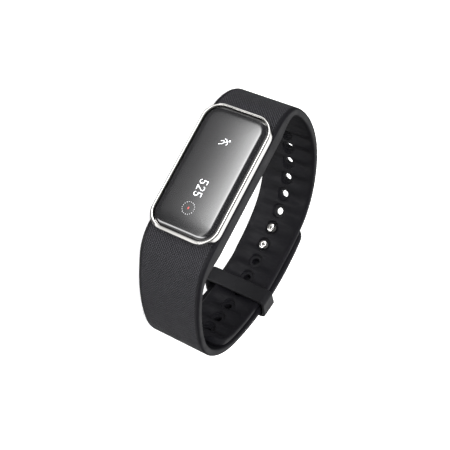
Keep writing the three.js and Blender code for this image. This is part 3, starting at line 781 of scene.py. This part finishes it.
def stud_profile():
    """(radius, height) of a stud: a rivet inside the flap, a shank, and a domed head with a hollow."""
    seat = 2 * STRAP_THICKNESS + LAYER_GAP - SEAT_DEPTH
    base = seat + 0.2 * MM
    shank, head, height = 0.8 * MM, 1.6 * MM, 0.95 * MM
    rivet, rivet_near, rivet_far = 1.3 * MM, 1.16 * MM, 1.41 * MM
    fillet = 0.1 * MM
    profile = [(0.05 * MM, rivet_near), (rivet, rivet_near), (rivet, rivet_far)]
    profile += [(shank, rivet_far), (shank, base - fillet), (shank + fillet, base)]
    profile += [(0.9 * head, base), (0.97 * head, base + 0.05 * height)]
    for degrees in range(0, 70, 10):
        angle = math.radians(degrees)
        profile.append((
            head * (0.45 + 0.55 * math.cos(angle)),
            base + height * (0.2 + 0.82 * math.sin(angle)) * 0.98,
        ))
    crown = base + height
    hollow, hollow_wall, hollow_floor = 0.5 * MM, 0.55 * MM, 0.7 * MM
    profile += [(hollow + 0.12 * MM, crown), (hollow + 0.03 * MM, crown - 0.03 * MM)]
    profile += [(hollow, crown - 0.12 * MM), (hollow, crown - hollow_wall)]
    profile.append((0.02 * MM, crown - hollow_floor))
    return profile


def make_stud(number):
    node = f"clasp_stud_{number}"
    verts, faces = turned_verts(stud_profile())
    verts = across_band(verts, CLASP, stud_distance(node))
    stud = new_object(f"stud_{number}", verts, faces, [LOOKS["polished"]])
    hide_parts(node)
    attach(stud, "clasp_flap")


# ---------------------------------------------------------------- the tracker


BEZEL_CORNER = 5.3 * MM
WALL_SHIFT = 0.35 * MM


def bezel_profile(half_z):
    """(shift to the key end, step in at the ends, step in along the sides, y) around the wall."""
    top, bottom = BEZEL_LOW.y, BEZEL_HIGH.y
    glass_gap = 0.13 * MM
    rim = half_z - (GLASS_HIGH.z - GLASS_LOW.z) / 2 - glass_gap
    ledge, ledge_width = top + 1.4 * MM, 0.9 * MM
    draft = 0.04 * MM
    side_fillet, end_fillet, fillet_height, fillet_steps = 0.18 * MM, 0.08 * MM, 0.8 * MM, 10
    foot = 0.12 * MM
    inner = [(rim + ledge_width, ledge), (rim, ledge), (rim, top + 0.1 * MM)]
    inner += [(rim - 0.03 * MM, top + 0.03 * MM), (rim - 0.09 * MM, top)]
    profile = [(GLASS_SHIFT, inset, inset, y) for inset, y in inner]
    for step in range(fillet_steps + 1):
        angle = math.radians(90 * step / fillet_steps)
        left = 1 - math.sin(angle)
        y = top + fillet_height * (1 - math.cos(angle))
        profile.append((WALL_SHIFT, draft + end_fillet * left, draft + side_fillet * left, y))
    straight = bottom - foot - top - fillet_height
    for share in (0.33, 0.66, 1):
        inset = draft * (1 - share)
        profile.append((WALL_SHIFT, inset, inset, top + fillet_height + straight * share))
    profile.append((WALL_SHIFT, 0.3 * foot, 0.3 * foot, bottom - 0.3 * foot))
    profile.append((WALL_SHIFT, foot, foot, bottom))
    profile.append((GLASS_SHIFT, rim + ledge_width, rim + ledge_width, bottom))
    return profile


def make_bezel():
    """A polished ring: a thin flat rim, a fillet that is wider along the sides, and a tall wall."""
    half_x = (BEZEL_HIGH.x - BEZEL_LOW.x) / 2
    half_z = (BEZEL_HIGH.z - BEZEL_LOW.z) / 2
    profile = bezel_profile(half_z)
    verts = []
    for shift, end_inset, side_inset, y in profile:
        outline = rounded_outline(half_x - end_inset, half_z - side_inset, BEZEL_CORNER - side_inset)
        verts += [Vector((TRACKER_X + shift + p.x, y, MID_Z + p.y)) for p in outline]
    count = len(verts) // len(profile)
    bezel = new_object("bezel_ring", verts, ring_faces(len(profile), count, True), [LOOKS["polished"]])
    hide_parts("bezel_frame")
    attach(bezel, "tracker")


GLASS_HALF_X = (GLASS_HIGH.x - GLASS_LOW.x) / 2
GLASS_HALF_Z = (GLASS_HIGH.z - GLASS_LOW.z) / 2
GLASS_RADIUS = 4.4 * MM
CROWN = 0.42 * MM
END_CROWN = 0.45 * MM
SHOULDER = 2.1 * MM
SHOULDER_DROP = 0.75 * MM
SHOULDER_STEP = 6
TOP_RINGS = 14


def glass_height(x, z, inset):
    """The glass's outer surface: a crown across it, falling away at a round shoulder."""
    crown = CROWN * (z / GLASS_HALF_Z) ** 2 + END_CROWN * abs(x / GLASS_HALF_X) ** 6
    share = min(inset / SHOULDER, 1)
    return GLASS_LOW.y + crown + SHOULDER_DROP * (1 - math.sqrt(1 - (1 - share) ** 2))


def make_glass():
    """A solid pane: one ring at its back edge, then rings over the shoulder and across the top."""
    last_inset = GLASS_HALF_Z - 0.2 * MM
    insets = [SHOULDER * (1 - math.cos(math.radians(a))) for a in range(0, 91, SHOULDER_STEP)]
    insets += [SHOULDER + (last_inset - SHOULDER) * i / TOP_RINGS for i in range(1, TOP_RINGS + 1)]
    verts = []
    for inset in [0, *insets]:
        first = not verts
        radius = max(GLASS_RADIUS - inset, 0.15 * MM)
        for p in rounded_outline(GLASS_HALF_X - inset, GLASS_HALF_Z - inset, radius):
            y = GLASS_HIGH.y if first else glass_height(p.x, p.y, inset)
            verts.append(Vector((GLASS_X + p.x, y, MID_Z + p.y)))
    count = len(verts) // (len(insets) + 1)
    glass = new_object("domed_glass", verts, ring_faces(len(insets) + 1, count), [LOOKS["glass"]])
    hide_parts("cover_glass")
    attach(glass, "tracker")


# ---------------------------------------------------------------- what the display shows


def glyph_object(name, strokes, width, look):
    """Flat strokes with round ends, laid on the glass. Points are (across, up) from the tracker's centre."""
    lift = 0.012 * MM
    cap_steps = 8
    verts, faces = [], []
    for line in strokes:
        for start, end in zip(line, line[1:]):
            a, b = Vector(start), Vector(end)
            ahead = (b - a).normalized() if (b - a).length else Vector((1, 0))
            base = math.atan2(ahead.y, ahead.x)
            first = len(verts)
            for centre, turn in ((b, -90), (a, 90)):
                for step in range(cap_steps + 1):
                    angle = base + math.radians(turn + 180 * step / cap_steps)
                    p = centre + 0.5 * width * Vector((math.cos(angle), math.sin(angle)))
                    y = glass_height(p.x, p.y, SHOULDER) - lift
                    verts.append(Vector((TRACKER_X + p.x, y, MID_Z + p.y)))
            faces.append(tuple(range(first, len(verts))))
    glyph = new_object(name, verts, faces, [LOOKS[look]])
    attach(glyph, "tracker")


def arc_points(centre, radius_x, radius_y, start, end, count=9):
    """Points on an oval arc between two angles in degrees."""
    found = []
    for i in range(count):
        angle = math.radians(start + (end - start) * i / (count - 1))
        found.append((centre[0] + radius_x * math.cos(angle), centre[1] + radius_y * math.sin(angle)))
    return found


DIGIT_HEIGHT = 2.25 * MM
DIGIT_WIDTH = 1.08 * MM
DIGIT_PITCH = 1.76 * MM
DIGITS_X = 5.23 * MM
DIGITS_Z = 0.14 * MM
DIGIT_STROKE = 0.2 * MM


def digit_two(x, z):
    w, h = DIGIT_WIDTH / 2, DIGIT_HEIGHT / 2
    bowl = arc_points((x, z + h - w), w, w, 165, -35)
    return [[*bowl, (x - w, z - h), (x + w, z - h)]]


def digit_five(x, z):
    w, h = DIGIT_WIDTH / 2, DIGIT_HEIGHT / 2
    bowl = arc_points((x, z - h + w * 1.15), w, w * 1.15, 125, -150, 12)
    return [[(x + 0.85 * w, z + h), (x - 0.7 * w, z + h), (x - 0.85 * w, z + 0.1 * h), *bowl]]


def make_digits():
    x, z = DIGITS_X, DIGITS_Z
    strokes = digit_five(x - DIGIT_PITCH, z) + digit_two(x, z) + digit_five(x + DIGIT_PITCH, z)
    glyph_object("shown_digits", strokes, DIGIT_STROKE, "lit")


def make_runner():
    """A plain running figure in strokes, leaning towards the display's far end."""
    x, z = -8.2 * MM, 0.1 * MM

    def line(*points):
        return [(x + a * MM, z + b * MM) for a, b in points]

    head = line((-0.85, 1.05), (-0.84, 1.05))
    glyph_object("shown_runner_head", [head], 0.52 * MM, "lit")
    limbs = [
        line((-0.4, 0.55), (-0.05, -0.2)),
        line((-0.4, 0.5), (-0.95, 0.1), (-1.05, -0.45)),
        line((-0.35, 0.6), (0.1, 0.8), (0.5, 0.55)),
        line((-0.05, -0.2), (0.5, -0.7), (0.8, -1.55)),
        line((-0.05, -0.2), (-0.5, -0.6), (-0.2, -1.3)),
    ]
    glyph_object("shown_runner", limbs, 0.16 * MM, "lit")


def make_touch_mark():
    """A dotted ring with a red centre, over the touch key."""
    low, high = (Vector(corner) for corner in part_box("touch_key_pad"))
    x, z = (low.x + high.x) / 2 - TRACKER_X, -0.3 * MM
    ring_radius, dot_count, dot_length = 1.72 * MM, 18, 0.01 * MM
    dots = []
    for i in range(dot_count):
        angle = 2 * math.pi * i / dot_count
        spot = (x + ring_radius * math.cos(angle), z + ring_radius * math.sin(angle))
        dots.append([spot, (spot[0] + dot_length, spot[1])])
    glyph_object("touch_mark_dots", dots, 0.24 * MM, "dim")
    centre = [(x - 0.12 * MM, z), (x + 0.12 * MM, z)]
    glyph_object("touch_mark_centre", [centre], 0.4 * MM, "red")


# ---------------------------------------------------------------- carried-over nodes

NODE_LOOKS = {
    "case": ("mid_frame", "back_cover"),
    "glass": ("sensor_window", "display_panel"),
    "seal": ("glass_gasket", "case_seal"),
    "gold": ("charge_contact_1", "charge_contact_2", "touch_key_pad"),
    "steel": (
        "clasp_plate", "cover_screw_1", "cover_screw_2", "cover_screw_3", "cover_screw_4",
        "motor_can", "motor_base", "motor_weight",
    ),
    "board": ("main_board", "sensor_board"),
    "chip": ("processor_chip", "radio_chip", "motion_sensor", "pulse_photodiode"),
    "flex": ("display_flex",),
    "foil": ("battery_cell",),
    "led": ("pulse_led_1", "pulse_led_2"),
}


def dress_nodes():
    """Gives the CAD nodes that stay visible their looks."""
    for look, nodes in NODE_LOOKS.items():
        for name in nodes:
            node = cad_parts[name]
            node.data.materials.clear()
            node.data.materials.append(LOOKS[look])


# ---------------------------------------------------------------- floor, light and camera


def glow(look, strength):
    look.shader.inputs["Emission Color"].default_value = (1, 1, 1, 1)
    look.shader.inputs["Emission Strength"].default_value = strength


def make_floor():
    """A pale floor that gives off some light. It isn't seen in reflections."""
    half = 3
    verts = [(-half, -half, 0), (half, -half, 0), (half, half, 0), (-half, half, 0)]
    look = Look("pale_floor", (0.9, 0.9, 0.9), 0.6)
    look.mix_colour(look.noise(3), (0.88, 0.88, 0.88), (0.91, 0.91, 0.91))
    look.shader.inputs["Specular IOR Level"].default_value = 0.1
    glow(look, 0.65)
    floor = new_object("floor", verts, [(0, 1, 2, 3)], [look.material])
    floor.visible_glossy = False


def make_backdrop():
    """A bright round wall beyond the floor's lit part. It lights nothing and isn't mirrored."""
    verts, faces = [], []
    sides, radius, height = 64, 1.05, 1.5
    for i in range(sides):
        angle = 2 * math.pi * i / sides
        spot = (radius * math.cos(angle), radius * math.sin(angle))
        verts += [(*spot, 0), (*spot, height)]
        j = (i + 1) % sides
        faces.append((2 * i, 2 * j, 2 * j + 1, 2 * i + 1))
    look = Look("pale_backdrop", (0.9, 0.9, 0.9), 0.9)
    look.mix_colour(look.noise(2), (0.88, 0.88, 0.88), (0.91, 0.91, 0.91))
    glow(look, 1)
    wall = new_object("backdrop", verts, faces, [look.material])
    wall.visible_diffuse = False
    wall.visible_glossy = False
    wall.visible_shadow = False


def area_light(name, place, size, power):
    """A square light aimed at the frame's origin, not seen by the camera or in reflections."""
    light = bpy.data.lights.new(name, "AREA")
    light.shape = "RECTANGLE"
    light.size = light.size_y = size
    light.energy = power
    lamp = bpy.data.objects.new(name, light)
    lamp.location = place
    lamp.rotation_euler = (-Vector(place)).to_track_quat("-Z", "Y").to_euler()
    lamp.visible_camera = False
    lamp.visible_glossy = False
    bpy.context.scene.collection.objects.link(lamp)


class Sky:
    """The studio around the object, as soft bright areas in given directions."""

    def __init__(self):
        world = bpy.data.worlds.new("studio")
        bpy.context.scene.world = world
        world.use_nodes = True
        self.tree = world.node_tree
        self.background = self.tree.nodes["Background"]
        place = self.tree.nodes.new("ShaderNodeTexCoord")
        self.parts = self.tree.nodes.new("ShaderNodeSeparateXYZ")
        self.tree.links.new(place.outputs["Generated"], self.parts.inputs[0])

    def math(self, operation, a, b=None):
        node = self.tree.nodes.new("ShaderNodeMath")
        node.operation = operation
        for socket, value in zip(node.inputs, (a, b)):
            if isinstance(value, (int, float)):
                socket.default_value = value
            elif value is not None:
                self.tree.links.new(value, socket)
        return node.outputs[0]

    def ramp(self, axis, start, end, low, high):
        """A value that runs smoothly from low, at start, to high, at end, on one axis of the direction."""
        node = self.tree.nodes.new("ShaderNodeMapRange")
        node.interpolation_type = "SMOOTHSTEP"
        for key, value in (("From Min", start), ("From Max", end), ("To Min", low), ("To Max", high)):
            node.inputs[key].default_value = value
        self.tree.links.new(self.parts.outputs[axis], node.inputs["Value"])
        return node.outputs["Result"]

    def product(self, area, *limits):
        for limit in limits:
            area = self.math("MULTIPLY", area, limit)
        return area


SKY_BASE = 0.1
# The glow in front has TABLE_STRENGTH at this depth below the horizon, where the flat glass mirrors it.
TABLE_DEPTH = 0.434
TABLE_STRENGTH = 1.25
TABLE_GROWTH = 10
TABLE_LIMIT = 6


def table_area(sky):
    """A glow in front and low down, which the glass mirrors. It grows quickly with height."""
    height = sky.math("ADD", sky.parts.outputs["Z"], TABLE_DEPTH)
    rise = sky.math("EXPONENT", sky.math("MULTIPLY", height, TABLE_GROWTH))
    return sky.product(
        sky.math("MINIMUM", sky.math("MULTIPLY", rise, TABLE_STRENGTH), TABLE_LIMIT),
        sky.ramp("Z", -0.27, -0.13, 1, 0),
        sky.ramp("X", -0.17, -0.02, 1, 0.25),
        sky.ramp("X", -0.65, -0.3, 0.05, 1),
        sky.ramp("X", 0.35, 0.6, 1, 0.2),
        sky.ramp("Y", -0.5, 0.1, 1, 0),
    )


def back_area(sky):
    """A glow behind the band, above the horizon."""
    return sky.product(
        sky.ramp("Y", 0.55, 0.75, 0, 1.1),
        sky.ramp("Z", 0.1, 0.3, 0.1, 1),
        sky.ramp("Z", 0.58, 0.75, 1, 0),
        sky.ramp("X", 0.2, 0.5, 1, 0.2),
    )


def side_area(sky):
    """A narrow bright strip and a wide faint area on the key end's side, near the horizon and below."""
    strip = sky.product(
        sky.ramp("X", 0.32, 0.40, 0, 4.2),
        sky.ramp("X", 0.46, 0.56, 1, 0.06),
        sky.ramp("Y", -0.4, 0.1, 1, 0),
    )
    wide = sky.product(
        sky.ramp("X", 0.5, 0.95, 0, 0.4),
        sky.ramp("Y", 0, 0.55, 1, 0.1),
        sky.ramp("Y", -0.5, -0.1, 0, 1),
    )
    return sky.product(sky.math("ADD", strip, wide), sky.ramp("Z", -0.15, 0.1, 1, 0))


def under_area(sky):
    """A faint glow from below, though not from in front, as from a pale floor."""
    return sky.product(
        sky.ramp("Z", -0.3, -0.1, 0.3, 0),
        sky.ramp("Y", -0.5, 0, 0, 1),
        sky.ramp("X", -0.7, -0.4, 0.1, 1),
    )


def make_sky():
    sky = Sky()
    ahead = sky.math("ADD", table_area(sky), back_area(sky))
    beside = sky.math("ADD", side_area(sky), SKY_BASE)
    total = sky.math("ADD", sky.math("ADD", ahead, beside), under_area(sky))
    sky.tree.links.new(total, sky.background.inputs["Strength"])
    sky.background.inputs["Color"].default_value = (1, 1, 1, 1)


def make_lights():
    make_sky()
    area_light("key_front", (0.02, -0.6, 0.5), 0.5, 10)
    area_light("fill_overhead", (0, 0.1, 0.9), 1.6, 12)


LENS = 71.2
AZIMUTH = 11.51
ELEVATION = 25.75
ROLL = 112.8
DISTANCE = 247 * MM
AIM_X, AIM_Y, AIM_Z = 6.91 * MM, 20.6 * MM, -0.37 * MM
SENSOR_WIDTH = 36
NEAR_CLIP = 10 * MM


def make_camera():
    """The view from in front and above, with the camera turned on its side."""
    azimuth, elevation = math.radians(AZIMUTH), math.radians(ELEVATION)
    back = Vector((
        math.sin(azimuth) * math.cos(elevation),
        -math.cos(azimuth) * math.cos(elevation),
        math.sin(elevation),
    ))
    target = Vector((TRACKER_X + AIM_X, FACE_Y + AIM_Y, MID_Z + AIM_Z))
    camera = bpy.data.objects.new("camera", bpy.data.cameras.new("camera"))
    upright = back.to_track_quat("Z", "Y").to_matrix().to_4x4()
    roll = Matrix.Rotation(math.radians(ROLL), 4, "Z")
    camera.matrix_world = Matrix.Translation(target + back * DISTANCE) @ upright @ roll
    camera.data.lens = LENS
    camera.data.sensor_width = SENSOR_WIDTH
    camera.data.clip_start = NEAR_CLIP
    bpy.context.scene.collection.objects.link(camera)
    bpy.context.scene.camera = camera


def main():
    make_camera()
    make_floor()
    make_backdrop()
    make_lights()
    make_band()
    make_flap()
    make_keeper()
    for number in (1, 2):
        make_stud(number)
    make_bezel()
    make_glass()
    make_digits()
    make_runner()
    make_touch_mark()
    dress_nodes()
    bpy.context.scene.view_settings.view_transform = "Standard"


main()
